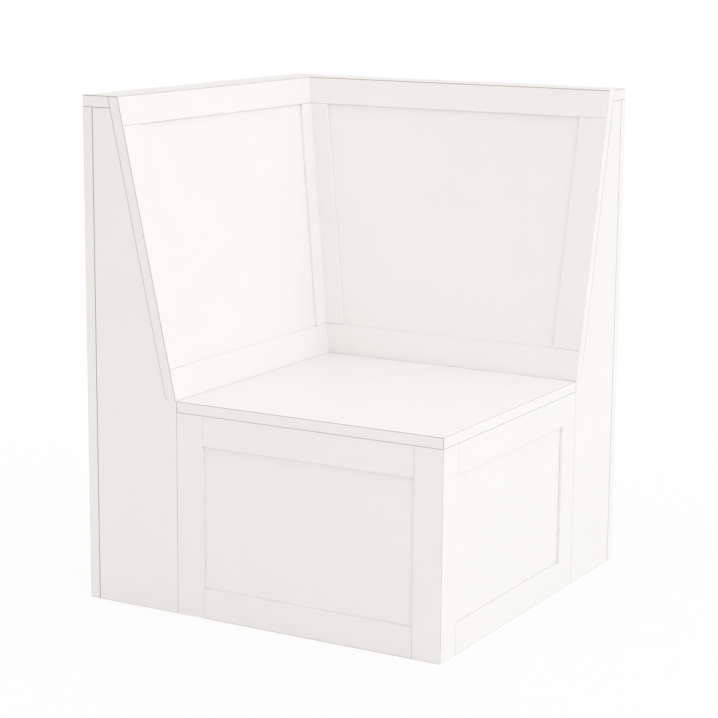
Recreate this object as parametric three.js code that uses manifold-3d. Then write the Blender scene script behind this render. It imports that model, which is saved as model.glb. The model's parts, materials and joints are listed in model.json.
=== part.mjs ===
import * as THREE from "three";
import { mergeVertices } from "three/addons/utils/BufferGeometryUtils.js";
import Module from "manifold-3d";

// A corner storage bench of painted boards. Lengths are millimetres and +Z is up.
// The origin is on the floor, under the middle of the square footprint. The left back runs
// along the -X side, the rear back along the +Y side, and they meet in a mitre over x = -y.
// The seat box shows a framed face at the front (-Y) and another at the right (+X).
// The lid lifts on a continuous hinge in front of the rear back, and a strut holds it open.

// Whole bench
const benchSide = 700;
const benchHeight = 889;
const seatHeight = 377;
const boardThickness = 19;
const capThickness = 20;
// Space left between two faces that meet, less where they are glued over their whole width,
// and more between an outer board and the end panel beside it
const fitGap = 0.3;
const glueGap = 0.1;
const outerJointGap = 0.7;

// Backs: how far in the sloping face lies at its foot and at the top, and the frame's members
const footDepth = 185;
const backTopDepth = 71.5;
const backTopRailWidth = 50;
const backBottomRailWidth = 54.5;
const backStileWidth = 54;
const mitreStileWidth = 35;
const endStripThickness = 1.5;

// Box faces
const boxRailWidth = 53;
const boxStileWidth = 53;

// Panels, and the grooves and stub tenons that hold each frame together
const panelThickness = 6;
const panelSetback = 5;
const tongueLength = 8;
const tenonShoulder = 9;

// Lid
const lidThickness = 19;
const lidSeam = 0.4;
const lidSideGap = 0.1;

// Storage floor and the strips that carry it and the lid
const floorThickness = 12;
const floorHeight = 30;
const floorCleatHeight = 20;
const cleatWidth = 19;
const lidCleatHeight = 19;
const strutClearance = 60;
const cornerPostWidth = 30;

// Continuous hinge
const knuckleRadius = 2;
const hingePinRadius = 0.9;
const hingePinPlay = 0.15;
const leafThickness = 0.8;
const leafHeight = 15.5;
const hingeInset = 18;
const knuckleCount = 19;
const screwsPerLeaf = 4;

// Screws
const screwHeadRadius = 2.8;
const screwHeadHeight = 1.1;
const screwCrownShare = 0.6;
const screwShankRadius = 1.4;
const screwLength = 11;
const screwTip = 3;
const pilotPlay = 0.25;

// Gas strut
const strutReach = 190;
const strutOffset = 15;
const strutSpreadDegrees = 70;
const studDrop = 14;
const studRadius = 3;
const studHeadRadius = 4.5;
const studHeadThickness = 1.5;
const eyeRadius = 7;
const eyeWidth = 8;
const eyePlay = 0.3;
const tubeRadius = 9;
const tubeWall = 1.2;
const tubeFoot = 10;
const glandLength = 5;
const rodRadius = 4;
const rodPlay = 0.4;
const rodShown = 24;
const pistonRadius = 7.3;
const pistonLength = 8;
const pistonFootGap = 6;
const bracketThickness = 2;
const bracketLength = 36;
const wallBracketHeight = 34;
const bracketScrewInset = 6;
const bracketGap = 1;

// How far a cut runs past the face it opens
const overrun = 2;

const roundSegments = 24;
const knuckleSegments = 16;
const screwSegments = 12;

// Sizes worked out from the ones above
const halfSide = benchSide / 2;
const footHeight = seatHeight + glueGap;
const recline = Math.atan2(footDepth - backTopDepth, benchHeight - footHeight);
const pinHeight = seatHeight - knuckleRadius;
const pivotDepth = footDepth + fitGap + knuckleRadius;
const pivotY = halfSide - pivotDepth;
const endPanelFront = pivotDepth - fitGap;
const lidLeft = pivotDepth + lidSideGap;
const lidRear = pivotDepth + knuckleRadius + fitGap;
const lidBottom = seatHeight - lidThickness;
const boxTop = lidBottom - lidSeam;
const floorTop = floorHeight + floorThickness;
const grooveDepth = tongueLength + fitGap;
const grooveRange = [panelSetback - fitGap, panelSetback + panelThickness + fitGap];
const panelRange = [panelSetback, panelSetback + panelThickness];
const screwHoleRadius = screwShankRadius + pilotPlay;
const holeLength = screwLength + leafThickness + overrun;

const wasm = await Module();
wasm.setup();

const paint = () => new THREE.MeshStandardMaterial({ color: 0xf2f1ee, roughness: 0.45, metalness: 0 });
const innerPaint = () => new THREE.MeshStandardMaterial({ color: 0xeceae4, roughness: 0.6, metalness: 0 });
const whiteEnamel = () => new THREE.MeshStandardMaterial({ color: 0xf0efec, roughness: 0.35, metalness: 0 });
const steel = () => new THREE.MeshStandardMaterial({ color: 0xa8a9a8, roughness: 0.35, metalness: 1 });
const chrome = () => new THREE.MeshStandardMaterial({ color: 0xd9dadb, roughness: 0.15, metalness: 1 });
const blackPaint = () => new THREE.MeshStandardMaterial({ color: 0x1d1d1f, roughness: 0.5, metalness: 0.2 });

// Closed solid from a geometry, with its faces turned out whatever way it was mapped
function solidOf(geometry) {
  const bare = geometry.clone();
  bare.deleteAttribute("normal");
  bare.deleteAttribute("uv");
  const merged = mergeVertices(bare);
  const index = merged.index.array;
  const point = new THREE.Vector3();
  const next = new THREE.Vector3();
  const last = new THREE.Vector3();
  const kept = [];
  let volume = 0;
  for (let i = 0; i < index.length; i += 3) {
    const [a, b, c] = index.slice(i, i + 3);
    if (a === b || b === c || c === a) continue;
    point.fromBufferAttribute(merged.attributes.position, a);
    next.fromBufferAttribute(merged.attributes.position, b);
    last.fromBufferAttribute(merged.attributes.position, c);
    volume += point.dot(next.cross(last));
    kept.push(a, b, c);
  }
  if (volume < 0) kept.reverse();
  return new wasm.Manifold(
    new wasm.Mesh({
      numProp: 3,
      vertProperties: Float32Array.from(merged.attributes.position.array),
      triVerts: Uint32Array.from(kept),
    }),
  );
}

// Named mesh with flat faces from a closed solid
function pieceOf(name, solid, material) {
  const { vertProperties, triVerts } = solid.getMesh();
  const shared = new THREE.BufferGeometry();
  shared.setAttribute("position", new THREE.BufferAttribute(vertProperties, 3));
  shared.setIndex(new THREE.BufferAttribute(triVerts, 1));
  const geometry = shared.toNonIndexed();
  geometry.computeVertexNormals();
  const piece = new THREE.Mesh(geometry, material);
  piece.name = name;
  return piece;
}

// Six-sided solid between two limits each way. A limit is a number, or a formula:
// the rise may follow the depth, and the run may follow the rise and the depth.
function block({ run, rise, depth }, place) {
  const geometry = new THREE.BoxGeometry(1, 1, 1);
  const corners = geometry.attributes.position;
  const pick = (limits, side, ...given) => {
    const limit = limits[side > 0 ? 1 : 0];
    return typeof limit === "function" ? limit(...given) : limit;
  };
  for (let i = 0; i < corners.count; i += 1) {
    const d = pick(depth, corners.getZ(i));
    const r = pick(rise, corners.getY(i), d);
    const along = pick(run, corners.getX(i), r, d);
    corners.setXYZ(i, ...place(along, r, d));
  }
  return solidOf(geometry);
}

// Square-cut board between two corners, x then y then z
const board = (x, y, z) => block({ run: x, rise: y, depth: z }, (along, r, d) => [along, r, d]);

// Cylinder about a line parallel to X, Y or Z, from one place on that axis to another
function rod(axis, radius, from, to, centre, segments = roundSegments) {
  const geometry = new THREE.CylinderGeometry(radius, radius, to - from, segments);
  geometry.translate(0, (from + to) / 2, 0);
  if (axis === "x") geometry.rotateZ(-Math.PI / 2);
  if (axis === "z") geometry.rotateX(Math.PI / 2);
  geometry.translate(...centre);
  return solidOf(geometry);
}

// What a screw's hole takes away
const screwHole = (axis, from, to, centre) => rod(axis, screwHoleRadius, from, to, centre, screwSegments);

// Solid with several others cut out of it
const cutBy = (solid, holes) => holes.reduce((left, hole) => left.subtract(hole), solid);

// Frame and panel. Two members run through, two are tenoned in between them, and the panel's
// edges lie in the grooves. riseInner and runInner are the edges on the panel's side.
function framedPanel(names, { place, riseOuter, riseInner, runOuter, runInner }) {
  const depth = [0, boardThickness];
  const [lowRun, highRun] = runOuter;
  const [lowEdge, highEdge] = runInner;
  const shoulderRun = [(r, d) => lowRun(r, d) + tenonShoulder, (r, d) => highRun(r, d) - tenonShoulder];

  const through = (rise, groove) =>
    block({ run: runOuter, rise, depth }, place).subtract(
      block({ run: shoulderRun, rise: groove, depth: grooveRange }, place),
    );
  const low = through([riseOuter[0], riseInner[0]], [riseInner[0] - grooveDepth, riseInner[0] + overrun]);
  const high = through([riseInner[1], riseOuter[1]], [riseInner[1] - overrun, riseInner[1] + grooveDepth]);

  const between = (run, groove, tenon) => {
    const rise = [riseInner[0] + fitGap, riseInner[1] - fitGap];
    const pastRise = [rise[0] - overrun, rise[1] + overrun];
    const tenons = [
      [riseInner[0] - tongueLength, riseInner[0] + tongueLength],
      [riseInner[1] - tongueLength, riseInner[1] + tongueLength],
    ];
    const grooved = block({ run, rise, depth }, place).subtract(
      block({ run: groove, rise: pastRise, depth: grooveRange }, place),
    );
    return tenons.reduce(
      (member, span) => member.add(block({ run: tenon, rise: span, depth: panelRange }, place)),
      grooved,
    );
  };
  const first = between(
    [lowRun, lowEdge],
    [(r) => lowEdge(r) - grooveDepth, (r) => lowEdge(r) + overrun],
    [(r, d) => lowRun(r, d) + tenonShoulder + fitGap, (r) => lowEdge(r) - grooveDepth - fitGap],
  );
  const last = between(
    [highEdge, highRun],
    [(r) => highEdge(r) - overrun, (r) => highEdge(r) + grooveDepth],
    [(r) => highEdge(r) + grooveDepth + fitGap, (r, d) => highRun(r, d) - tenonShoulder - fitGap],
  );
  const panel = block(
    {
      run: [(r) => lowEdge(r) - tongueLength, (r) => highEdge(r) + tongueLength],
      rise: [riseInner[0] - tongueLength, riseInner[1] + tongueLength],
      depth: panelRange,
    },
    place,
  );
  return [low, high, first, last, panel].map((solid, i) => pieceOf(names[i], solid, paint()));
}

// The bench is built in two halves that mirror each other in the plane x = -y. In a half,
// u runs in from the outer side, w runs back from the open end and z is up.

// Where the mitre cuts a piece that lies a distance u from the outer side
const mitreEnd = (u) => benchSide - u - fitGap / Math.SQRT2;
const gluedMitreEnd = (u) => benchSide - u - glueGap / Math.SQRT2;

// Distance from the outer side to the sloping face, and to the plane behind it, at a height
const faceDepth = (z) => footDepth - (z - footHeight) * Math.tan(recline);
const behindBack = (z) => faceDepth(z) - (boardThickness + fitGap) / Math.cos(recline);

// Sloping back: rails run through, the inner stile follows the mitre, and a thin strip is glued
// over the open end of the frame
function backFrame(side) {
  const depthOf = (rise, d) => footDepth - rise * Math.sin(recline) - d * Math.cos(recline);
  const place = (run, rise, d) => [
    depthOf(rise, d),
    run,
    footHeight + rise * Math.cos(recline) - d * Math.sin(recline),
  ];
  const topRise = (d) => (benchHeight - footHeight + d * Math.sin(recline)) / Math.cos(recline);
  const riseOuter = [(d) => d * Math.tan(recline), topRise];
  const names = ["bottom_rail", "top_rail", "outer_stile", "inner_stile", "panel"];
  const frame = framedPanel(
    names.map((name) => `${side}_back_${name}`),
    {
      place,
      riseOuter,
      riseInner: [backBottomRailWidth, topRise(0) - backTopRailWidth],
      runOuter: [() => endStripThickness + glueGap, (rise, d) => gluedMitreEnd(depthOf(rise, d))],
      runInner: [() => backStileWidth, (rise) => gluedMitreEnd(depthOf(rise, 0)) - mitreStileWidth],
    },
  );
  const strip = block({ run: [0, endStripThickness], rise: riseOuter, depth: [0, boardThickness] }, place);
  return [...frame, pieceOf(`${side}_back_end_strip`, strip, paint())];
}

// Box face: stiles run through from the floor, the corner stile is mitred to the other face
function boxFrame(face) {
  const names = ["inner_stile", "corner_stile", "bottom_rail", "top_rail", "panel"];
  return framedPanel(
    names.map((name) => `${face}_frame_${name}`),
    {
      place: (run, rise, d) => [rise, d, run],
      riseOuter: [() => pivotDepth, mitreEnd],
      riseInner: [pivotDepth + boxStileWidth, benchSide - boxStileWidth],
      runOuter: [() => 0, () => boxTop],
      runInner: [() => boxRailWidth, () => boxTop - boxRailWidth],
    },
  );
}

// End panel: upright in front, a ledge for the foot of the back, then a slope behind it
function endPanel(name) {
  const top = benchHeight - capThickness - fitGap;
  const rear = boardThickness + outerJointGap;
  const outline = new THREE.Shape();
  outline.moveTo(rear, 0);
  outline.lineTo(endPanelFront, 0);
  outline.lineTo(endPanelFront, seatHeight);
  outline.lineTo(behindBack(seatHeight), seatHeight);
  outline.lineTo(behindBack(top), top);
  outline.lineTo(rear, top);
  outline.closePath();
  const geometry = new THREE.ExtrudeGeometry(outline, { depth: boardThickness, bevelEnabled: false });
  geometry.rotateX(Math.PI / 2);
  geometry.translate(0, boardThickness, 0);
  return pieceOf(name, solidOf(geometry), paint());
}

// Cap over the top, its inner edge bevelled to the slope of the back
function topCap(name) {
  const limits = {
    depth: [benchHeight - capThickness, benchHeight],
    rise: [() => 0, behindBack],
    run: [() => 0, mitreEnd],
  };
  return pieceOf(name, block(limits, (run, rise, d) => [rise, run, d]), paint());
}

// Upright board on the outer side, behind the sloping back
function outerBoard(name, length) {
  const top = benchHeight - capThickness - fitGap;
  return pieceOf(name, board([0, boardThickness], [0, length], [0, top]), paint());
}

// Upright wall between the storage space and the hollow behind the back, up to the seat's level
function innerWall(name, front, length, holes) {
  const wall = board([front - boardThickness, front], [boardThickness + fitGap, length], [0, seatHeight]);
  return pieceOf(name, cutBy(wall, holes), innerPaint());
}

// Strips in the corners of the box: two carry the floor, one joins the wall to the box face
function boxCleats(side, face, wallFront) {
  const wallSpan = [wallFront + fitGap, wallFront + fitGap + cleatWidth];
  const faceSpan = [boardThickness + fitGap, boardThickness + fitGap + cleatWidth];
  const floorSpan = [floorHeight - fitGap - floorCleatHeight, floorHeight - fitGap];
  const wallCleat = board(wallSpan, [faceSpan[0], benchSide - wallSpan[1] - fitGap], floorSpan);
  const faceCleat = board([wallSpan[1] + fitGap, benchSide - faceSpan[1] - fitGap], faceSpan, floorSpan);
  const joint = board(wallSpan, faceSpan, [floorTop + fitGap, boxTop]);
  return [
    pieceOf(`${side}_wall_floor_cleat`, wallCleat, innerPaint()),
    pieceOf(`${face}_floor_cleat`, faceCleat, innerPaint()),
    pieceOf(`${face}_joint_cleat`, joint, innerPaint()),
  ];
}

// One half of the bench. wallFront is the side of its inner wall that faces the storage space,
// and the screw holes in that wall are given as [w, z].
function benchHalf({ side, face, outerLength, wallFront, wallLength, wallHoles }) {
  const holes = wallHoles.map(([w, z]) =>
    screwHole("x", wallFront - holeLength, wallFront + overrun, [0, w, z]),
  );
  const half = new THREE.Group();
  half.add(
    endPanel(`${face}_end_panel`),
    outerBoard(`${side}_outer_board`, outerLength),
    topCap(`${side}_top_cap`),
    innerWall(`${side}_inner_wall`, wallFront, wallLength, holes),
    ...backFrame(side),
    ...boxFrame(face),
    ...boxCleats(side, face, wallFront),
  );
  return half;
}

// Screw with its head's underside at the origin and its shank along -Z
function screw(name, position, rotation) {
  const profile = [
    [0, screwHeadHeight],
    [screwHeadRadius * screwCrownShare, screwHeadHeight],
    [screwHeadRadius, 0],
    [screwShankRadius, 0],
    [screwShankRadius, screwTip - screwLength],
    [0, -screwLength],
  ];
  const geometry = new THREE.LatheGeometry(
    profile.map(([x, y]) => new THREE.Vector2(x, y)),
    screwSegments,
  );
  geometry.rotateX(Math.PI / 2);
  const piece = pieceOf(name, solidOf(geometry), steel());
  piece.position.set(...position);
  piece.rotation.set(...rotation);
  return piece;
}

// Places along X of the hinge, its knuckles and its screws
const hingeStart = endPanelFront - halfSide + hingeInset;
const hingeEnd = halfSide - boardThickness - hingeInset;
const knucklePitch = (hingeEnd - hingeStart) / knuckleCount;
const leafScrewPitch = (hingeEnd - hingeStart) / screwsPerLeaf;
const leafScrewHeight = pinHeight - leafHeight / 2 - knuckleRadius / 2;
const screwPlaces = (share) =>
  Array.from({ length: screwsPerLeaf }, (_, i) => hingeStart + (i + share) * leafScrewPitch);
const wallScrewShare = 0.35;
const lidScrewShare = 0.65;

// Leaf of the hinge, with every second knuckle from the first one that is its own.
// sign is -1 for the leaf on the lid, in front of the pin, and 1 for the one behind it.
function hingeLeaf(name, sign, firstKnuckle, screwXs) {
  const outside = pivotY + sign * knuckleRadius;
  const plateY = [outside, outside - sign * leafThickness].sort((a, b) => a - b);
  const centre = [0, pivotY, pinHeight];
  let leaf = board([hingeStart, hingeEnd], plateY, [pinHeight - leafHeight, pinHeight]);
  for (let i = 0; i < knuckleCount; i += 1) {
    const from = hingeStart + i * knucklePitch;
    const to = from + knucklePitch;
    const own = i % 2 === firstKnuckle;
    leaf = own
      ? leaf.add(rod("x", knuckleRadius, from + fitGap / 2, to - fitGap / 2, centre, knuckleSegments))
      : leaf.subtract(
          rod("x", knuckleRadius + fitGap, from - fitGap / 2, to + fitGap / 2, centre, knuckleSegments),
        );
  }
  const bore = rod(
    "x",
    hingePinRadius + hingePinPlay,
    hingeStart - overrun,
    hingeEnd + overrun,
    centre,
    knuckleSegments,
  );
  const holes = screwXs.map((x) =>
    screwHole("y", plateY[0] - overrun, plateY[1] + overrun, [x, 0, leafScrewHeight]),
  );
  return pieceOf(name, cutBy(leaf, [bore, ...holes]), whiteEnamel());
}

function hinge() {
  const group = new THREE.Group();
  const wallXs = screwPlaces(wallScrewShare);
  const lidXs = screwPlaces(lidScrewShare);
  const wallHeadY = pivotY + knuckleRadius - leafThickness - fitGap;
  const lidHeadY = pivotY - knuckleRadius + leafThickness + fitGap;
  group.add(
    hingeLeaf("hinge_wall_leaf", 1, 0, wallXs),
    hingeLeaf("hinge_lid_leaf", -1, 1, lidXs),
    pieceOf(
      "hinge_pin",
      rod("x", hingePinRadius, hingeStart, hingeEnd, [0, pivotY, pinHeight], screwSegments),
      whiteEnamel(),
    ),
    ...wallXs.map((x, i) =>
      screw(`hinge_wall_screw_${i + 1}`, [x, wallHeadY, leafScrewHeight], [Math.PI / 2, 0, 0]),
    ),
    ...lidXs.map((x, i) =>
      screw(`hinge_lid_screw_${i + 1}`, [x, lidHeadY, leafScrewHeight], [-Math.PI / 2, 0, 0]),
    ),
  );
  return group;
}

// Strut: both studs are the same distance from the hinge pin, so the strut turns by half of
// the lid's angle. A stud's angle is measured at the pin, up from level.
const lidStudAngle = -Math.asin((pinHeight - lidBottom + studDrop) / strutReach);
const wallStudAngle = lidStudAngle - THREE.MathUtils.degToRad(strutSpreadDegrees);
const strutX = endPanelFront - halfSide + strutOffset;
const studPlace = (angle) => [
  strutX,
  pivotY - strutReach * Math.cos(angle),
  pinHeight + strutReach * Math.sin(angle),
];
const lidStud = studPlace(lidStudAngle);
const wallStud = studPlace(wallStudAngle);
const strutLength = 2 * strutReach * Math.sin(THREE.MathUtils.degToRad(strutSpreadDegrees) / 2);
const strutTilt = Math.atan2(lidStud[2] - wallStud[2], wallStud[1] - lidStud[1]);
const bracketPlateX = endPanelFront - halfSide + fitGap;
const wallScrewZs = [-1, 1].map((end) => wallStud[2] + end * (wallBracketHeight / 2 - bracketScrewInset));
const lidScrewYs = [-1, 1].map((end) => lidStud[1] + end * (bracketLength / 2 - bracketScrewInset));
const studReach = strutX + eyeWidth / 2 + fitGap;

// Turned piece about the strut's own line, from [radius, distance along it] pairs
function turned(profile) {
  const geometry = new THREE.LatheGeometry(
    profile.map(([x, y]) => new THREE.Vector2(x, y)),
    roundSegments,
  );
  return solidOf(geometry);
}

// Adds an eye with its bore across the line, at the line's start
function withEye(solid) {
  return solid
    .add(rod("x", eyeRadius, -eyeWidth / 2, eyeWidth / 2, [0, 0, 0]))
    .subtract(rod("x", studRadius + eyePlay, -eyeWidth, eyeWidth, [0, 0, 0]));
}

function strutTube() {
  const bore = tubeRadius - tubeWall;
  const hole = rodRadius + rodPlay;
  const mouth = strutLength - rodShown;
  const foot = tubeFoot + tubeWall;
  const tube = turned([
    [0, eyeRadius / 2],
    [eyeWidth / 2, eyeRadius / 2],
    [eyeWidth / 2, tubeFoot],
    [tubeRadius, tubeFoot],
    [tubeRadius, mouth],
    [hole, mouth],
    [hole, mouth - glandLength],
    [bore, mouth - glandLength],
    [bore, foot],
    [0, foot],
  ]);
  const piece = pieceOf("strut_tube", withEye(tube), blackPaint());
  piece.position.set(...wallStud);
  piece.rotation.x = Math.PI - strutTilt;
  return piece;
}

function strutRod() {
  const end = strutLength - tubeFoot - tubeWall - pistonFootGap;
  const shaft = turned([
    [0, eyeRadius / 2],
    [rodRadius, eyeRadius / 2],
    [rodRadius, end - pistonLength],
    [pistonRadius, end - pistonLength],
    [pistonRadius, end],
    [0, end],
  ]);
  const piece = pieceOf("strut_rod", withEye(shaft), chrome());
  piece.position.set(...lidStud);
  piece.rotation.x = -strutTilt;
  return piece;
}

// Stud with a flat head, from a plate to past the eye
function stud(fromX, centre) {
  const line = [0, centre[1], centre[2]];
  return rod("x", studRadius, fromX, studReach + studHeadThickness / 2, line).add(
    rod("x", studHeadRadius, studReach, studReach + studHeadThickness, line),
  );
}

function strutWallBracket() {
  const [, y, z] = wallStud;
  const plate = board(
    [bracketPlateX, bracketPlateX + bracketThickness],
    [y - eyeRadius, y + eyeRadius],
    [z - wallBracketHeight / 2, z + wallBracketHeight / 2],
  );
  const holes = wallScrewZs.map((hole) =>
    screwHole("x", bracketPlateX - overrun, bracketPlateX + bracketThickness + overrun, [0, y, hole]),
  );
  const bracket = cutBy(plate, holes).add(stud(bracketPlateX + bracketThickness / 2, wallStud));
  return pieceOf("strut_wall_bracket", bracket, steel());
}

function strutLidBracket() {
  const [, y, z] = lidStud;
  const ear = strutX - eyeWidth / 2 - bracketGap - bracketThickness;
  const plateTop = lidBottom - fitGap;
  const plate = board(
    [ear, studReach + studHeadThickness],
    [y - bracketLength / 2, y + bracketLength / 2],
    [plateTop - bracketThickness, plateTop],
  );
  const holes = lidScrewYs.map((hole) =>
    screwHole("z", plateTop - bracketThickness - overrun, plateTop + overrun, [strutX, hole, 0]),
  );
  const leg = board(
    [ear, ear + bracketThickness],
    [y - eyeRadius, y + eyeRadius],
    [z - eyeRadius, plateTop - bracketThickness / 2],
  );
  const bracket = cutBy(plate, holes).add(leg).add(stud(ear + bracketThickness / 2, lidStud));
  return pieceOf("strut_lid_bracket", bracket, steel());
}

function strut() {
  const group = new THREE.Group();
  const wallHeadX = bracketPlateX + bracketThickness + fitGap;
  const lidHeadZ = lidBottom - fitGap - bracketThickness - fitGap;
  group.add(
    strutTube(),
    strutRod(),
    strutWallBracket(),
    strutLidBracket(),
    ...wallScrewZs.map((z, i) =>
      screw(`strut_wall_screw_${i + 1}`, [wallHeadX, wallStud[1], z], [0, Math.PI / 2, 0]),
    ),
    ...lidScrewYs.map((y, i) => screw(`strut_lid_screw_${i + 1}`, [strutX, y, lidHeadZ], [Math.PI, 0, 0])),
  );
  return group;
}

// Seat lid. Its rear edge clears the knuckles, and past the ends of the hinge it runs on
// below the pin's level.
function lid() {
  const left = lidLeft - halfSide;
  const rearEdge = halfSide - lidRear;
  const pastRear = [rearEdge, pivotY + overrun];
  const slab = board([left, halfSide], [-halfSide, pivotY], [lidBottom, seatHeight]);
  const overEars = board([left - overrun, halfSide + overrun], pastRear, [pinHeight, seatHeight + overrun]);
  const forHinge = board(
    [hingeStart - fitGap, hingeEnd + fitGap],
    pastRear,
    [lidBottom - overrun, pinHeight + overrun],
  );
  const hingeHoles = screwPlaces(lidScrewShare).map((x) =>
    screwHole("y", rearEdge - holeLength, rearEdge + overrun, [x, 0, leafScrewHeight]),
  );
  const strutHoles = lidScrewYs.map((y) =>
    screwHole("z", lidBottom - overrun, lidBottom + holeLength, [strutX, y, 0]),
  );
  return pieceOf("seat_lid", cutBy(slab, [overEars, forHinge, ...hingeHoles, ...strutHoles]), paint());
}

// Pieces inside the box that belong to neither half
function storage() {
  const group = new THREE.Group();
  const left = endPanelFront - halfSide + fitGap;
  const rear = halfSide - footDepth - fitGap;
  const right = halfSide - boardThickness - fitGap;
  const front = -right;
  const cleatTop = [boxTop - lidCleatHeight, boxTop];
  const floor = board([left, right], [front, rear], [floorHeight, floorTop]);
  const leftCleat = board(
    [left, left + cleatWidth],
    [front + cleatWidth + fitGap, lidStud[1] - bracketLength / 2 - strutClearance],
    cleatTop,
  );
  const rearCleat = board([left, right - cleatWidth - fitGap], [rear - cleatWidth, rear], cleatTop);
  const post = board(
    [right - cornerPostWidth, right],
    [front, front + cornerPostWidth],
    [floorTop + fitGap, boxTop],
  );
  group.add(
    pieceOf("storage_floor", floor, innerPaint()),
    pieceOf("left_lid_cleat", leftCleat, innerPaint()),
    pieceOf("rear_lid_cleat", rearCleat, innerPaint()),
    pieceOf("corner_post", post, innerPaint()),
  );
  return group;
}

const leftHalf = benchHalf({
  side: "left",
  face: "front",
  outerLength: benchSide,
  wallFront: endPanelFront,
  wallLength: benchSide - boardThickness - fitGap,
  wallHoles: wallScrewZs.map((z) => [wallStud[1] + halfSide, z]),
});
leftHalf.position.set(-halfSide, -halfSide, 0);

// The hinge stands between the rear half's inner wall and the lid, so that wall stands back
const rearHalf = benchHalf({
  side: "rear",
  face: "right",
  outerLength: benchSide - boardThickness - fitGap,
  wallFront: footDepth,
  wallLength: benchSide - endPanelFront - fitGap,
  wallHoles: screwPlaces(wallScrewShare).map((x) => [halfSide - x, leafScrewHeight]),
});
rearHalf.position.set(halfSide, halfSide, 0);
rearHalf.rotation.z = Math.PI / 2;
rearHalf.scale.x = -1;

const bench = new THREE.Group();
bench.add(leftHalf, rearHalf, storage(), lid(), hinge(), strut());

export default bench;
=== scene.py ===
"""Looks for the white corner storage bench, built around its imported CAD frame. Lengths are metres."""

import json
import math

import bmesh
import bpy
from mathutils import Matrix, Vector
from mathutils.bvhtree import BVHTree


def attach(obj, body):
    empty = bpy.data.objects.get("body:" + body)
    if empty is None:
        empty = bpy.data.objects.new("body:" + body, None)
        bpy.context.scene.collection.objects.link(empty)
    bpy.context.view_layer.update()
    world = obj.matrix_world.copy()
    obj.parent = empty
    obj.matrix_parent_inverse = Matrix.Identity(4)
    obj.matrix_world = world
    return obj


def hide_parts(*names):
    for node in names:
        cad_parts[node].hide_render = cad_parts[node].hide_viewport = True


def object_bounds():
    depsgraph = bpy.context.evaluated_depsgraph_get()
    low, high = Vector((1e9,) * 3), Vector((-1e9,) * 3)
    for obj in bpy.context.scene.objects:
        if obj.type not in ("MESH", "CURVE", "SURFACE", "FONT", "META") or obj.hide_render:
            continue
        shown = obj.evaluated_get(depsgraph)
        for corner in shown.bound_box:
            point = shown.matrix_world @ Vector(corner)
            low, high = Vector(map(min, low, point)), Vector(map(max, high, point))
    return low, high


MM = 0.001

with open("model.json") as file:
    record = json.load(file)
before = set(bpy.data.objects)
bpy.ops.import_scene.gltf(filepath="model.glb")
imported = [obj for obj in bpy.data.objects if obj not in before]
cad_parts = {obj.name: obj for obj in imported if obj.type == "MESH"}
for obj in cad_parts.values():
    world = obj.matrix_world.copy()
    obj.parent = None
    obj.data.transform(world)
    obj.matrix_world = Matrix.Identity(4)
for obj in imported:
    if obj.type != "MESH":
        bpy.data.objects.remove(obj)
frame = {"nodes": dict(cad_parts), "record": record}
cad_low, cad_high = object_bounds()
body_of = {
    node: body
    for body, nodes in frame["record"]["behaviour"]["bodies"].items()
    for node in nodes
}
slot_of = {part["node"]: part["material_slot"] for part in frame["record"]["subparts"]}


# Camera


# Where the photo was taken from, and in degrees which way the camera pointed
CAMERA_PLACE = (1.8525, -3.2606, 1.1561)
CAMERA_YAW = 29.673
CAMERA_PITCH = 11.271
CAMERA_ROLL = -0.446
# The photo's focal length and width in pixels, and the width of the sensor in millimetres
FOCAL_PIXELS = 2120.6
PHOTO_PIXELS = 718
SENSOR_WIDTH = 36


def add_camera():
    yaw, pitch, roll = map(math.radians, (CAMERA_YAW, CAMERA_PITCH, CAMERA_ROLL))
    forward = Vector(
        (-math.sin(yaw) * math.cos(pitch), math.cos(yaw) * math.cos(pitch), -math.sin(pitch))
    )
    right = Vector((math.cos(yaw), math.sin(yaw), 0))
    down = forward.cross(right)
    level = Matrix((right, -down, -forward)).transposed()
    camera = bpy.data.objects.new("camera", bpy.data.cameras.new("camera"))
    camera.data.sensor_width = SENSOR_WIDTH
    camera.data.lens = SENSOR_WIDTH * FOCAL_PIXELS / PHOTO_PIXELS
    turned = level @ Matrix.Rotation(-roll, 3, "Z")
    camera.matrix_world = Matrix.Translation(CAMERA_PLACE) @ turned.to_4x4()
    bpy.context.scene.collection.objects.link(camera)
    bpy.context.scene.camera = camera


# Node trees


# Sockets of a mix of two colours: its factor and both colours, and what comes out
MIX_INPUTS = (0, 6, 7)
MIX_RESULT = 2


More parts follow.
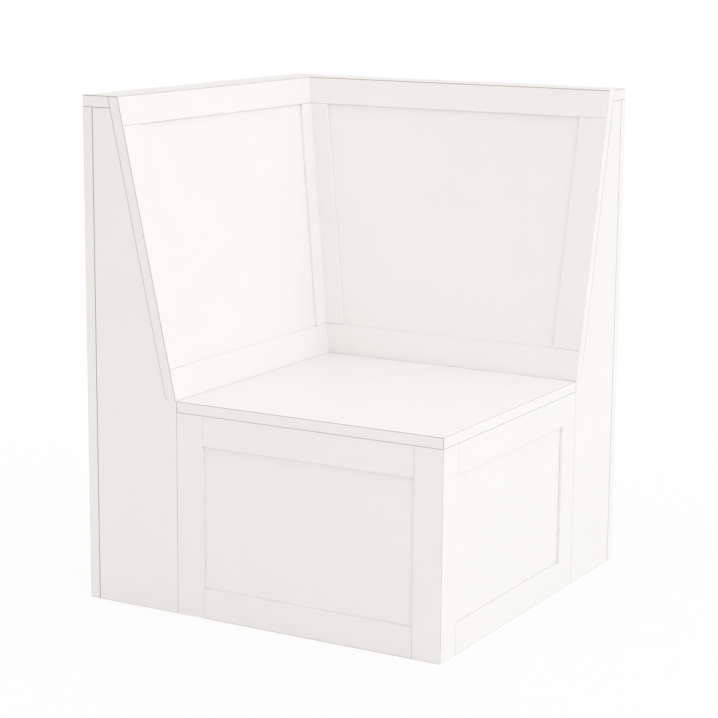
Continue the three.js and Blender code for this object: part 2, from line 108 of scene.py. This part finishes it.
class Nodes:
    """Short way to build a material's node tree."""

    def __init__(self, tree):
        self.tree = tree
        self.tree.nodes.clear()

    def add(self, kind, inputs=None, **settings):
        node = self.tree.nodes.new(kind)
        for name, value in settings.items():
            setattr(node, name, value)
        for name, value in (inputs or {}).items():
            if isinstance(value, bpy.types.NodeSocket):
                self.tree.links.new(value, node.inputs[name])
            else:
                node.inputs[name].default_value = value
        return node

    def noise(self, vector, scale=1.0, detail=2.0, roughness=0.5):
        node = self.add(
            "ShaderNodeTexNoise",
            {"Vector": vector, "Scale": scale, "Detail": detail, "Roughness": roughness},
        )
        return node.outputs["Fac"]

    def stretch(self, vector, scale):
        node = self.add("ShaderNodeVectorMath", {0: vector, 1: scale}, operation="MULTIPLY")
        return node.outputs["Vector"]

    def ramp(self, value, low, high, to_low=0.0, to_high=1.0):
        node = self.add(
            "ShaderNodeMapRange",
            {"Value": value, "From Min": low, "From Max": high, "To Min": to_low, "To Max": to_high},
        )
        return node.outputs["Result"]

    def mix(self, factor, first, second):
        node = self.add("ShaderNodeMix", data_type="RGBA")
        for index, value in zip(MIX_INPUTS, (factor, first, second)):
            if isinstance(value, bpy.types.NodeSocket):
                self.tree.links.new(value, node.inputs[index])
            else:
                node.inputs[index].default_value = value
        return node.outputs[MIX_RESULT]

    def sum(self, *values):
        total = values[0]
        for value in values[1:]:
            total = self.add("ShaderNodeMath", {0: total, 1: value}, operation="ADD").outputs[0]
        return total

    def times(self, value, factor):
        return self.add("ShaderNodeMath", {0: value, 1: factor}, operation="MULTIPLY").outputs[0]

    def most(self, *values):
        total = values[0]
        for value in values[1:]:
            total = self.add("ShaderNodeMath", {0: total, 1: value}, operation="MAXIMUM").outputs[0]
        return total

    def bump(self, height, strength, distance):
        node = self.add(
            "ShaderNodeBump", {"Height": height, "Strength": strength, "Distance": distance}
        )
        return node.outputs["Normal"]

    def surface(self, shader):
        self.add("ShaderNodeOutputMaterial", {"Surface": shader})


def new_material(name):
    material = bpy.data.materials.new(name)
    material.use_nodes = True
    return material, Nodes(material.node_tree)


# Where a point lies in its own piece: along, across and through it, in metres
PLACE = "piece_place"


def place_of(nodes):
    return nodes.add("ShaderNodeAttribute", attribute_name=PLACE).outputs["Vector"]


# Paint: how often each of its patterns comes round, per metre
CLOUDS = 9.0
BRUSH_STREAKS = (14.0, 420.0, 420.0)
ROLLER_STIPPLE = 520.0
# How much the streaks count in its shade, and the pattern values that are all dark and all light
STREAK_IN_SHADE = 0.35
SHADE_SPAN = (0.4, 0.95)
# How much each pattern counts in its relief, and the height of that
STREAK_IN_RELIEF = 0.55
STIPPLE_IN_RELIEF = 0.6
CLOUD_IN_RELIEF = 1.2
PAINT_RELIEF = 0.25 * MM
# Pattern values of the smoothest and the roughest places, and how far below and above the
# material's roughness they lie
GLOSS_SPAN = (0.6, 1.4)
PAINT_SMOOTHER = 0.06
PAINT_ROUGHER = 0.07
PAINT_IOR = 1.47
# The side whose arrises get painted shade, darker the more they face it, and how far an arris must face
# it
FRONT_SHADE_FROM = (0.21, -0.93, 0.3)
FRONT_SHADE_TURN = (0.0, 0.85)
# How far a face must look up to take the painted shade of the level tops
LEVEL_TURN = (0.7, 1.0)


def front_shade_share(nodes):
    """How far the surface faces the side whose arrises take painted shade."""
    normal = nodes.add("ShaderNodeTexCoord").outputs["Normal"]
    facing = nodes.add("ShaderNodeVectorMath", {0: normal, 1: FRONT_SHADE_FROM}, operation="DOT_PRODUCT")
    return nodes.ramp(facing.outputs["Value"], *FRONT_SHADE_TURN)


def level_shade_share(nodes):
    """1 on a level face, which takes painted shade, and 0 on an upright one."""
    normal = nodes.add("ShaderNodeTexCoord").outputs["Normal"]
    rise = nodes.add("ShaderNodeSeparateXYZ", {"Vector": normal}).outputs["Z"]
    return nodes.ramp(rise, *LEVEL_TURN)


def paint_material(name, light, dark, roughness, texture, front_shade=None, top_shade=None):
    """Brushed and rolled paint. The streaks run along each board and never repeat on the next one."""
    material, nodes = new_material(name)
    place = place_of(nodes)
    cloud = nodes.noise(place, CLOUDS, detail=3.0)
    streak = nodes.noise(nodes.stretch(place, BRUSH_STREAKS))
    stipple = nodes.noise(place, ROLLER_STIPPLE, roughness=0.6)
    pattern = nodes.sum(cloud, nodes.times(streak, STREAK_IN_SHADE))
    shade = nodes.ramp(pattern, *SHADE_SPAN)
    colour = nodes.mix(shade, dark, light)
    # Painted shade on the arrises that face the front
    if front_shade:
        colour = nodes.mix(front_shade_share(nodes), colour, front_shade)
    # Painted shade on level faces
    if top_shade:
        colour = nodes.mix(level_shade_share(nodes), colour, top_shade)
    height = nodes.sum(
        nodes.times(streak, STREAK_IN_RELIEF),
        nodes.times(stipple, STIPPLE_IN_RELIEF),
        nodes.times(cloud, CLOUD_IN_RELIEF),
    )
    extremes = (roughness - PAINT_SMOOTHER, roughness + PAINT_ROUGHER)
    gloss = nodes.ramp(nodes.sum(stipple, streak), *GLOSS_SPAN, *extremes)
    shader = nodes.add(
        "ShaderNodeBsdfPrincipled",
        {
            "Base Color": colour,
            "Roughness": gloss,
            "IOR": PAINT_IOR,
            "Normal": nodes.bump(height, texture, PAINT_RELIEF),
        },
    )
    nodes.surface(shader.outputs["BSDF"])
    return material


# The same for bare metal
METAL_CLOUDS = 120.0
STEEL_STREAKS = (30.0, 900.0, 900.0)
CHROME_STREAKS = (40.0, 1500.0, 1500.0)
METAL_RELIEF = 0.05 * MM
METAL_SMOOTHER = 0.08
METAL_ROUGHER = 0.1
# The same for enamel
ENAMEL_CLOUDS = 60.0
ENAMEL_STIPPLE = 900.0
ENAMEL_RELIEF = 0.1 * MM
ENAMEL_TEXTURE = 0.12
ENAMEL_SPAN = (0.3, 0.7)
ENAMEL_SPREAD = 0.06


def metal_material(name, light, dark, roughness, streaks, grain):
    """Bare metal, drawn or turned along the piece."""
    material, nodes = new_material(name)
    place = place_of(nodes)
    cloud = nodes.noise(place, METAL_CLOUDS, detail=3.0)
    brushed = nodes.noise(nodes.stretch(place, streaks))
    extremes = (roughness - METAL_SMOOTHER, roughness + METAL_ROUGHER)
    gloss = nodes.ramp(nodes.sum(cloud, brushed), *GLOSS_SPAN, *extremes)
    shader = nodes.add(
        "ShaderNodeBsdfPrincipled",
        {
            "Base Color": nodes.mix(cloud, dark, light),
            "Metallic": 1.0,
            "Roughness": gloss,
            "Normal": nodes.bump(brushed, grain, METAL_RELIEF),
        },
    )
    nodes.surface(shader.outputs["BSDF"])
    return material


def enamel_material(name, light, dark, roughness):
    """Paint baked on metal, with a fine stipple."""
    material, nodes = new_material(name)
    place = place_of(nodes)
    stipple = nodes.noise(place, ENAMEL_STIPPLE)
    cloud = nodes.noise(place, ENAMEL_CLOUDS)
    extremes = (roughness - ENAMEL_SPREAD, roughness + ENAMEL_SPREAD)
    shader = nodes.add(
        "ShaderNodeBsdfPrincipled",
        {
            "Base Color": nodes.mix(cloud, dark, light),
            "Roughness": nodes.ramp(cloud, *ENAMEL_SPAN, *extremes),
            "Normal": nodes.bump(stipple, ENAMEL_TEXTURE, ENAMEL_RELIEF),
        },
    )
    nodes.surface(shader.outputs["BSDF"])
    return material


WHITE_PAINT = {
    "light": (0.905, 0.898, 0.885, 1),
    "dark": (0.89, 0.882, 0.866, 1),
    "roughness": 0.42,
    "texture": 0.16,
}

materials = {
    "white_paint": paint_material("white_paint", **WHITE_PAINT),
    # Painted shade: level faces of the pieces at the top are darker
    "top_shade_paint": paint_material("top_shade_paint", **WHITE_PAINT, top_shade=(0.83, 0.815, 0.795, 1)),
    # Painted shade along the eased arrises and seams, darkest where they face the front
    "edge_paint": paint_material(
        "edge_paint",
        light=(0.82, 0.8, 0.775, 1),
        dark=(0.77, 0.745, 0.715, 1),
        roughness=0.5,
        texture=0.2,
        front_shade=(0.45, 0.4, 0.365, 1),
    ),
    "inner_paint": paint_material(
        "inner_paint",
        light=(0.87, 0.862, 0.84, 1),
        dark=(0.84, 0.828, 0.8, 1),
        roughness=0.55,
        texture=0.28,
    ),
    # Painted shade along the eased arrises inside the box
    "inner_edge_paint": paint_material(
        "inner_edge_paint",
        light=(0.77, 0.745, 0.71, 1),
        dark=(0.7, 0.67, 0.63, 1),
        roughness=0.55,
        texture=0.28,
    ),
    "white_enamel": enamel_material(
        "white_enamel", light=(0.89, 0.885, 0.87, 1), dark=(0.86, 0.855, 0.84, 1), roughness=0.32
    ),
    "steel": metal_material(
        "steel",
        light=(0.66, 0.66, 0.65, 1),
        dark=(0.56, 0.56, 0.56, 1),
        roughness=0.34,
        streaks=STEEL_STREAKS,
        grain=0.25,
    ),
    "chrome": metal_material(
        "chrome",
        light=(0.8, 0.8, 0.81, 1),
        dark=(0.74, 0.74, 0.75, 1),
        roughness=0.14,
        streaks=CHROME_STREAKS,
        grain=0.06,
    ),
    "black_paint": enamel_material(
        "black_paint", light=(0.03, 0.03, 0.032, 1), dark=(0.018, 0.018, 0.02, 1), roughness=0.36
    ),
}
# Paint of the eased edges on each painted slot: painted shade along the arrises and seams
EDGE_OF = {"white_paint": "edge_paint", "inner_paint": "inner_edge_paint"}


# Shared by all the pieces


# Steps that move the pattern on from one piece to the next, in metres
PATTERN_STEPS = (0.731, 0.417, 0.259)
# What lies this near the top takes painted shade on its level faces, and is gripped by hands
TOP_WITHIN = 0.5 * MM


def at_top(height):
    return cad_high[2] - height < TOP_WITHIN


def main_material(node):
    """The slot's own material, or the paint with painted shade on its level faces on a piece that reaches
    the top.
    """
    highest = max(vert.co.z for vert in frame["nodes"][node].data.vertices)
    return materials["top_shade_paint" if at_top(highest) else slot_of[node]]


def store_places(mesh, axes, index):
    """Keeps each point's place in its own piece, moved on so that no two have the same pattern."""
    attribute = mesh.attributes.new(PLACE, "FLOAT_VECTOR", "POINT")
    for vert, item in zip(mesh.vertices, attribute.data):
        item.vector = [vert.co.dot(axis) + index * step for axis, step in zip(axes, PATTERN_STEPS)]


def link_piece(prefix, work, node, axes, index):
    """Turns the mesh at work into a visible piece that takes the node's place."""
    name = f"{prefix}_{node}"
    mesh = bpy.data.meshes.new(name)
    work.to_mesh(mesh)
    work.free()
    store_places(mesh, axes, index)
    slot = slot_of[node]
    mesh.materials.append(main_material(node))
    if slot in EDGE_OF:
        mesh.materials.append(materials[EDGE_OF[slot]])
    piece = bpy.data.objects.new(name, mesh)
    bpy.context.scene.collection.objects.link(piece)
    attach(piece, body_of[node])
    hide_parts(node)
    return piece


# Points closer than this are one point, and faces that turn by less lie in one plane
SAME_POINT = 0.004 * MM
SAME_PLANE = math.radians(0.4)
# Two planes look the same way where the product of their normals is above this
SAME_WAY = 0.99999


def clean_copy(node):
    """The node's solid with its flat faces whole again."""
    work = bmesh.new()
    work.from_mesh(frame["nodes"][node].data)
    bmesh.ops.remove_doubles(work, verts=work.verts, dist=SAME_POINT)
    bmesh.ops.dissolve_limit(work, angle_limit=SAME_PLANE, verts=work.verts, edges=work.edges)
    work.normal_update()
    return work


def add_easing(piece, shares, width, segments, material=-1):
    """Rounds each edge by its share of the width. It takes the given material, or that of the faces."""
    bevel = piece.modifiers.new(shares, "BEVEL")
    bevel.limit_method = "WEIGHT"
    bevel.edge_weight = shares
    bevel.width = width
    bevel.segments = segments
    bevel.miter_outer = "MITER_ARC"
    bevel.material = material
    return bevel


# Wooden pieces: the frame's solids with sanded edges

# Edge layers that keep how far each arris is eased: those that take the edge paint's painted shade, and
# those round a recessed panel, which keep the faces' paint
EASED_EDGES = "rubbed_edges"
RECESS_EDGES = "recess_edges"
# Sanding of an arris on top of the backs and of one round a panel, and the shares of the first
# that an open arris and one at a tight joint get
EASING = 1.5 * MM
RECESS_EASING = 0.5 * MM
OPEN_SHARE = 0.56
BOARD_JOINT_SHARE = 0.29
FRAME_JOINT_SHARE = 0.035
ARRIS_SEGMENTS = 3
# How near the next piece is to an edge that is glued, at a tight joint, open, or round a panel
GLUED_WITHIN = 0.15 * MM
TIGHT_WITHIN = 0.4 * MM
OPEN_BEYOND = 1.6 * MM
RECESS_WITHIN = 6.0 * MM
# Pieces whose arrises keep the faces' paint, without the painted shade of the edge paint
UNSHADED_ARRIS_PIECES = ("rear_back_end_strip",)
# Edges that turn less or are shorter than this stay as they are
LEAST_TURN = math.radians(20)
LEAST_LENGTH = 4.0 * MM
# A point this near a plane lies in it
ON_PLANE = 0.02 * MM


def all_solids():
    """One search tree over all the nodes' faces, and the node that each face belongs to."""
    places, faces, owners = [], [], []
    for node in sorted(frame["nodes"]):
        mesh = frame["nodes"][node].data
        start = len(places)
        places += [vert.co.copy() for vert in mesh.vertices]
        faces += [[start + i for i in face.vertices] for face in mesh.polygons]
        owners += [node] * len(mesh.polygons)
    return BVHTree.FromPolygons(places, faces), owners


def flat_planes(work):
    """(normal, distance) of each plane that the solid's faces lie in, with the largest area first."""
    planes = []
    for face in work.faces:
        distance = face.normal.dot(face.calc_center_median())
        area = face.calc_area()
        for plane in planes:
            if plane[0].dot(face.normal) > SAME_WAY and abs(plane[1] - distance) < ON_PLANE:
                plane[2] += area
                break
        else:
            planes.append([face.normal.copy(), distance, area])
    planes.sort(key=lambda plane: -plane[2])
    return planes


def on_plane(vert, plane):
    return abs(plane[0].dot(vert.co) - plane[1]) < ON_PLANE


def next_piece(middle, node, solids, owners):
    """How far the nearest other piece is from the middle of an edge, and which it is."""
    near = [
        (distance, owners[face])
        for _, _, face, distance in solids.find_nearest_range(middle, RECESS_WITHIN)
        if owners[face] != node
    ]
    return min(near, default=(RECESS_WITHIN, ""))


def easing_share(height, gap, joint_share):
    """Share of the full easing that an edge gets: the nearer the next piece, the less."""
    if gap < GLUED_WITHIN:
        return 0.0
    openness = min(max((gap - TIGHT_WITHIN) / (OPEN_BEYOND - TIGHT_WITHIN), 0), 1)
    widest = 1.0 if at_top(height) else OPEN_SHARE
    return joint_share + (widest - joint_share) * openness


def board_axes(work, planes):
    """Unit vectors along the board, across it and through it."""
    through = planes[0][0]
    longest = max(work.edges, key=lambda edge: edge.calc_length())
    along = (longest.verts[1].co - longest.verts[0].co).normalized()
    along = (along - along.dot(through) * through).normalized()
    return along, through.cross(along), through


def add_board(node, index, solids, owners):
    """The node's solid, with each outer edge eased the more the further the next piece is."""
    work = clean_copy(node)
    planes = flat_planes(work)
    framed = "_rail" in node or "_stile" in node
    joint_share = FRAME_JOINT_SHARE if framed else BOARD_JOINT_SHARE
    layers = work.edges.layers.float
    for name in (EASED_EDGES, RECESS_EDGES):
        layers.new(name)
    for edge in work.edges:
        if edge.calc_face_angle_signed(0) < LEAST_TURN or edge.calc_length() < LEAST_LENGTH:
            continue
        # A frame member's tenons and grooves stay sharp
        if framed and not any(all(on_plane(v, plane) for v in edge.verts) for plane in planes[:2]):
            continue
        middle = (edge.verts[0].co + edge.verts[1].co) / 2
        gap, other = next_piece(middle, node, solids, owners)
        if framed and gap > OPEN_BEYOND and other.endswith("_panel"):
            edge[layers[RECESS_EDGES]] = 1.0
        else:
            edge[layers[EASED_EDGES]] = easing_share(middle.z, gap, joint_share)
    piece = link_piece("painted", work, node, board_axes(work, planes), index)
    add_easing(piece, RECESS_EDGES, RECESS_EASING, ARRIS_SEGMENTS)
    # Eased arrises take the edge paint, painted shade, except on the pieces whose arrises keep the faces'
    # paint
    add_easing(piece, EASED_EDGES, EASING, ARRIS_SEGMENTS, material=0 if node in UNSHADED_ARRIS_PIECES else 1)


solids, owners = all_solids()
wooden = [node for node in sorted(frame["nodes"]) if slot_of[node] in EDGE_OF]
for index, node in enumerate(wooden):
    add_board(node, index, solids, owners)


# Metal pieces

# Faces that meet at less than this are one round face
ROUND_TURN = math.radians(32)
# Share of a side that a rounded corner may take up
CORNER_SHARE = 0.45
CORNER_STEPS = 4


def axes_round(along):
    side = along.orthogonal().normalized()
    return along, side, along.cross(side)


def skin(work, rings):
    """Joins each ring of points to the next. A ring of one point closes the end."""
    segments = max(len(ring) for ring in rings)
    for low, high in zip(rings, rings[1:]):
        for i in range(segments):
            j = (i + 1) % segments
            corners = [low[i % len(low)], low[j % len(low)], high[j % len(high)], high[i % len(high)]]
            face = list(dict.fromkeys(corners))
            if len(face) > 2:
                work.faces.new(face)


def turned_rings(work, profile, origin, axes, segments):
    """Rings of points about an axis from (radius, distance) pairs."""
    along, side, third = axes
    rings = []
    for radius, distance in profile:
        centre = origin + along * distance
        turns = [2 * math.pi * i / segments for i in range(segments if radius > 0 else 1)]
        rings.append(
            [
                work.verts.new(centre + (side * math.cos(turn) + third * math.sin(turn)) * radius)
                for turn in turns
            ]
        )
    return rings


def rounded(profile, radius):
    """The profile with each corner between its two ends rounded off, as far as its sides reach."""
    out = [profile[0]]
    for before, here, after in zip(profile, profile[1:], profile[2:]):
        start, corner, end = Vector(before), Vector(here), Vector(after)
        shorter = min((start - corner).length, (end - corner).length)
        reach = min(radius, CORNER_SHARE * shorter)
        first = corner + (start - corner).normalized() * reach
        last = corner + (end - corner).normalized() * reach
        for i in range(CORNER_STEPS + 1):
            share = i / CORNER_STEPS
            rest = 1 - share
            out.append(tuple(first * rest**2 + corner * 2 * share * rest + last * share**2))
    out.append(profile[-1])
    return out


def close_up(work):
    bmesh.ops.recalc_face_normals(work, faces=work.faces)
    for face in work.faces:
        face.smooth = True
    for edge in work.edges:
        edge.smooth = edge.calc_face_angle(0) < ROUND_TURN


def screw_place(node):
    """Where the underside of the screw's head lies, and the way it faces."""
    places = [vert.co for vert in frame["nodes"][node].data.vertices]
    spans = [(min(p[i] for p in places), max(p[i] for p in places)) for i in range(3)]
    axis = max(range(3), key=lambda i: spans[i][1] - spans[i][0])
    centre = Vector([(low + high) / 2 for low, high in spans])
    sideways = [i for i in range(3) if i != axis]
    widest = max(places, key=lambda p: Vector([p[i] - centre[i] for i in sideways]).length)
    outward = Vector((0, 0, 0))
    outward[axis] = math.copysign(1, widest[axis] - centre[axis])
    centre[axis] = widest[axis]
    return centre, outward


# Screw
SCREW_HEAD_RADIUS = 2.8 * MM
SCREW_HEAD_HEIGHT = 1.1 * MM
SCREW_SHANK_RADIUS = 1.4 * MM
SCREW_LENGTH = 11.0 * MM
SCREW_TIP = 3.0 * MM
SCREW_RINGS = 14
SCREW_SEGMENTS = 48
# How far the crown falls to the rim, as a share of the head's height, and how late it does
CROWN_FALL = 0.86
CROWN_POWER = 2.4
# The driver's cross in its head: the half width of an arm, its reach, and how far its sides
# and its end slope
CROSS_DEPTH = 0.62 * MM
CROSS_ARM = 0.26 * MM
CROSS_REACH = 1.15 * MM
CROSS_SIDE = 0.2 * MM
CROSS_END = 0.45 * MM


def falling(value, start, run):
    """1 up to the start, falling to 0 over the run."""
    return 1 - min(max((value - start) / run, 0), 1)


def cross_share(x, y):
    """Depth of the driver's cross at a point of the head, as a share of its full depth."""
    across = falling(min(abs(x), abs(y)), CROSS_ARM, CROSS_SIDE)
    along = falling(max(abs(x), abs(y)), CROSS_REACH, CROSS_END)
    return across * along


def screw_profile():
    """Crowned head from its middle to its rim, then the shank and its tip."""
    crown = []
    for i in range(SCREW_RINGS + 1):
        out = i / SCREW_RINGS
        crown.append((SCREW_HEAD_RADIUS * out, SCREW_HEAD_HEIGHT * (1 - CROWN_FALL * out**CROWN_POWER)))
    return crown + [
        (SCREW_HEAD_RADIUS, 0.0),
        (SCREW_SHANK_RADIUS, 0.0),
        (SCREW_SHANK_RADIUS, SCREW_TIP - SCREW_LENGTH),
        (0.0, -SCREW_LENGTH),
    ]


def add_screw(node, index):
    origin, outward = screw_place(node)
    axes = axes_round(outward)
    work = bmesh.new()
    rings = turned_rings(work, screw_profile(), origin, axes, SCREW_SEGMENTS)
    for ring in rings[: SCREW_RINGS + 1]:
        for vert in ring:
            across = vert.co - origin
            drop = CROSS_DEPTH * cross_share(across.dot(axes[1]), across.dot(axes[2]))
            vert.co -= outward * drop
    skin(work, rings)
    close_up(work)
    link_piece("turned", work, node, axes, index)


# Edges of stamped plates
PLATE_EDGES = "plate_edges"
PLATE_EASING = 0.12 * MM
PLATE_LEAST_LENGTH = 1.5 * MM
PLATE_SEGMENTS = 2


def add_fitting(node, index):
    """Hinge leaves, pin and brackets: the frame's solids with soft edges and smooth round faces."""
    work = clean_copy(node)
    stamped = work.edges.layers.float.new(PLATE_EDGES)
    for edge in work.edges:
        sharp = edge.calc_face_angle(0) > ROUND_TURN
        edge.smooth = not sharp
        if sharp and edge.calc_face_angle_signed(0) > 0 and edge.calc_length() > PLATE_LEAST_LENGTH:
            edge[stamped] = 1.0
    for face in work.faces:
        face.smooth = True
    piece = link_piece("formed", work, node, Matrix.Identity(3), index)
    bevel = add_easing(piece, PLATE_EDGES, PLATE_EASING, PLATE_SEGMENTS)
    bevel.harden_normals = True


# Strut. Distances are measured from the eye of each piece, or from the mouth of the tube.
STRUT_SEGMENTS = 64
EYE_RADIUS = 7.0 * MM
EYE_HALF = 4.0 * MM
EYE_BORE = 3.3 * MM
EYE_SOFT = 0.7 * MM
NECK_START = 3.5 * MM
TUBE_NECK_RADIUS = 3.9 * MM
TUBE_FOOT = 10.0 * MM
TUBE_RADIUS = 9.0 * MM
TUBE_SOFT = 1.8 * MM
ROLLED_FROM = 11.0 * MM
ROLLED_TO = 7.0 * MM
ROLLED_DEPTH = 0.7 * MM
ROLLED_SLOPE = 1.4 * MM
GLAND_RADIUS = 6.2 * MM
GLAND_DISH = 0.5 * MM
GLAND_BORE = 4.5 * MM
GLAND_DEPTH = 6.0 * MM
ROD_SHOWN = 24.0 * MM
ROD_RADIUS = 4.0 * MM
ROD_SOFT = 0.5 * MM
RING_START = 9.5 * MM
RING_WIDTH = 2.0 * MM
RING_DEPTH = 0.5 * MM
PISTON_RADIUS = 7.2 * MM
PISTON_LENGTH = 8.0 * MM
ROD_TAIL_GAP = 17.2 * MM


def strut_line():
    joints = {joint["name"]: Vector(joint["pos_m"]) for joint in frame["record"]["behaviour"]["joints"]}
    return joints["strut_tube_pivot"], joints["strut_rod_pivot"]


def add_eye(work, centre):
    """Ring across the strut with softened rims."""
    inner = EYE_BORE + EYE_SOFT
    outer = EYE_RADIUS - EYE_SOFT
    half = EYE_HALF - EYE_SOFT
    outline = [
        (EYE_BORE, -half),
        (inner, -EYE_HALF),
        (outer, -EYE_HALF),
        (EYE_RADIUS, -half),
        (EYE_RADIUS, half),
        (outer, EYE_HALF),
        (inner, EYE_HALF),
        (EYE_BORE, half),
    ]
    rings = turned_rings(work, outline, centre, axes_round(Vector((1, 0, 0))), STRUT_SEGMENTS)
    skin(work, rings + rings[:1])


def add_strut_part(node, index, start, end, profile, softness):
    """Eye at the start, and a turned body on the line from the start to the end."""
    work = bmesh.new()
    axes = axes_round((end - start).normalized())
    skin(work, turned_rings(work, rounded(profile, softness), start, axes, STRUT_SEGMENTS))
    add_eye(work, start)
    close_up(work)
    link_piece("turned", work, node, axes, index)


def tube_profile(length):
    """Neck, foot, wall with a rolled groove, and the gland in the mouth."""
    mouth = length - ROD_SHOWN
    rolled = TUBE_RADIUS - ROLLED_DEPTH
    return [
        (0.0, NECK_START),
        (TUBE_NECK_RADIUS, NECK_START),
        (TUBE_NECK_RADIUS, TUBE_FOOT),
        (TUBE_RADIUS, TUBE_FOOT),
        (TUBE_RADIUS, mouth - ROLLED_FROM),
        (rolled, mouth - ROLLED_FROM + ROLLED_SLOPE),
        (rolled, mouth - ROLLED_TO - ROLLED_SLOPE),
        (TUBE_RADIUS, mouth - ROLLED_TO),
        (TUBE_RADIUS, mouth),
        (GLAND_RADIUS, mouth),
        (GLAND_BORE, mouth - GLAND_DISH),
        (GLAND_BORE, mouth - GLAND_DEPTH),
        (0.0, mouth - GLAND_DEPTH),
    ]


def rod_profile(length):
    """Shaft with a ring groove near the eye, and the piston at its far end."""
    tail = length - ROD_TAIL_GAP
    ring_end = RING_START + RING_WIDTH
    return [
        (0.0, NECK_START),
        (ROD_RADIUS, NECK_START),
        (ROD_RADIUS, RING_START),
        (ROD_RADIUS - RING_DEPTH, RING_START + RING_DEPTH),
        (ROD_RADIUS - RING_DEPTH, ring_end - RING_DEPTH),
        (ROD_RADIUS, ring_end),
        (ROD_RADIUS, tail - PISTON_LENGTH),
        (PISTON_RADIUS, tail - PISTON_LENGTH),
        (PISTON_RADIUS, tail),
        (0.0, tail),
    ]


def add_metal(node, index):
    tube_eye, rod_eye = strut_line()
    length = (rod_eye - tube_eye).length
    if "screw" in node:
        add_screw(node, index)
    elif node == "strut_tube":
        add_strut_part(node, index, tube_eye, rod_eye, tube_profile(length), TUBE_SOFT)
    elif node == "strut_rod":
        add_strut_part(node, index, rod_eye, tube_eye, rod_profile(length), ROD_SOFT)
    else:
        add_fitting(node, index)


metal = [node for node in sorted(frame["nodes"]) if slot_of[node] not in EDGE_OF]
for index, node in enumerate(metal, len(wooden)):
    add_metal(node, index)


# Floor, backdrop and light

FLOOR_REACH = 4.0
FLOOR_DROP = 0.2 * MM
FLOOR_GRAIN = 40.0
FLOOR_TONES = ((0.84, 0.84, 0.835, 1), (0.86, 0.86, 0.855, 1))
FLOOR_ROUGHNESS = 0.7
# Round the object the floor shows a little of its shadow, and further out it is plain white
SHADOW_REACH = (0.5, 2.4)
WHITE_SHARES = (0.9, 1.0)
WHITE = (1, 1, 1, 1)
SKY_HORIZON = (0.661, 0.654, 0.652, 1)
SKY_ZENITH = (1.134, 1.118, 1.1, 1)
# Softboxes stand well away, so that the light doesn't fall off over the bench
SOFTBOX_TARGET = (0, 0, 0.45)
SOFTBOX_DISTANCE = 12.0
SOFTBOX_SIDE = 6.0
# Azimuth and elevation in degrees, power in watts, and tint. Azimuth 0 is the front, and 90 the
# right side.
SOFTBOXES = {
    "side_softbox": (95, 26, 211.0, (0.854, 0.954, 1.0)),
    "front_softbox": (50, 10, 154.0, (1.0, 0.905, 0.88)),
}


def seen_directly(nodes):
    """1 where the camera sees a surface itself, in a reflection or through glass."""
    path = nodes.add("ShaderNodeLightPath").outputs
    return nodes.most(path["Is Camera Ray"], path["Is Glossy Ray"], path["Is Transmission Ray"])


def floor_material():
    material, nodes = new_material("floor")
    place = nodes.add("ShaderNodeTexCoord").outputs["Object"]
    far = nodes.add("ShaderNodeVectorMath", {0: place}, operation="LENGTH").outputs["Value"]
    whitened = nodes.times(seen_directly(nodes), nodes.ramp(far, *SHADOW_REACH, *WHITE_SHARES))
    grain = nodes.noise(place, FLOOR_GRAIN, detail=3.0)
    colour = nodes.mix(grain, *FLOOR_TONES)
    plain = nodes.add("ShaderNodeBsdfPrincipled", {"Base Color": colour, "Roughness": FLOOR_ROUGHNESS})
    white = nodes.add("ShaderNodeEmission", {"Color": WHITE, "Strength": 1.0})
    mixed = nodes.add("ShaderNodeMixShader", {0: whitened, 1: plain.outputs[0], 2: white.outputs[0]})
    nodes.surface(mixed.outputs[0])
    return material


def add_floor():
    work = bmesh.new()
    bmesh.ops.create_grid(work, x_segments=1, y_segments=1, size=FLOOR_REACH)
    mesh = bpy.data.meshes.new("floor")
    work.to_mesh(mesh)
    work.free()
    mesh.materials.append(floor_material())
    floor = bpy.data.objects.new("floor", mesh)
    floor.location.z = -FLOOR_DROP
    bpy.context.scene.collection.objects.link(floor)


def add_world():
    """Soft light all round, brighter overhead, in front of a white background."""
    world = bpy.data.worlds.new("studio")
    bpy.context.scene.world = world
    world.use_nodes = True
    nodes = Nodes(world.node_tree)
    direction = nodes.add("ShaderNodeTexCoord").outputs["Generated"]
    height = nodes.add("ShaderNodeSeparateXYZ", {"Vector": direction}).outputs["Z"]
    sky = nodes.mix(nodes.ramp(height, 0.0, 1.0), SKY_HORIZON, SKY_ZENITH)
    background = nodes.add("ShaderNodeBackground", {"Color": nodes.mix(seen_directly(nodes), sky, WHITE)})
    nodes.add("ShaderNodeOutputWorld", {"Surface": background.outputs[0]})


def add_softbox(name, azimuth, elevation, power, tint):
    """Square lamp that faces the bench."""
    turn = math.radians(azimuth)
    rise = math.radians(elevation)
    outward = Vector((math.sin(turn) * math.cos(rise), -math.cos(turn) * math.cos(rise), math.sin(rise)))
    light = bpy.data.lights.new(name, "AREA")
    light.size = SOFTBOX_SIDE
    light.energy = power
    light.color = tint
    lamp = bpy.data.objects.new(name, light)
    lamp.location = Vector(SOFTBOX_TARGET) + outward * SOFTBOX_DISTANCE
    lamp.rotation_euler = (-outward).to_track_quat("-Z", "Y").to_euler()
    bpy.context.scene.collection.objects.link(lamp)


add_camera()
add_floor()
add_world()
for name, settings in SOFTBOXES.items():
    add_softbox(name, *settings)

bpy.context.scene.view_settings.view_transform = "Standard"
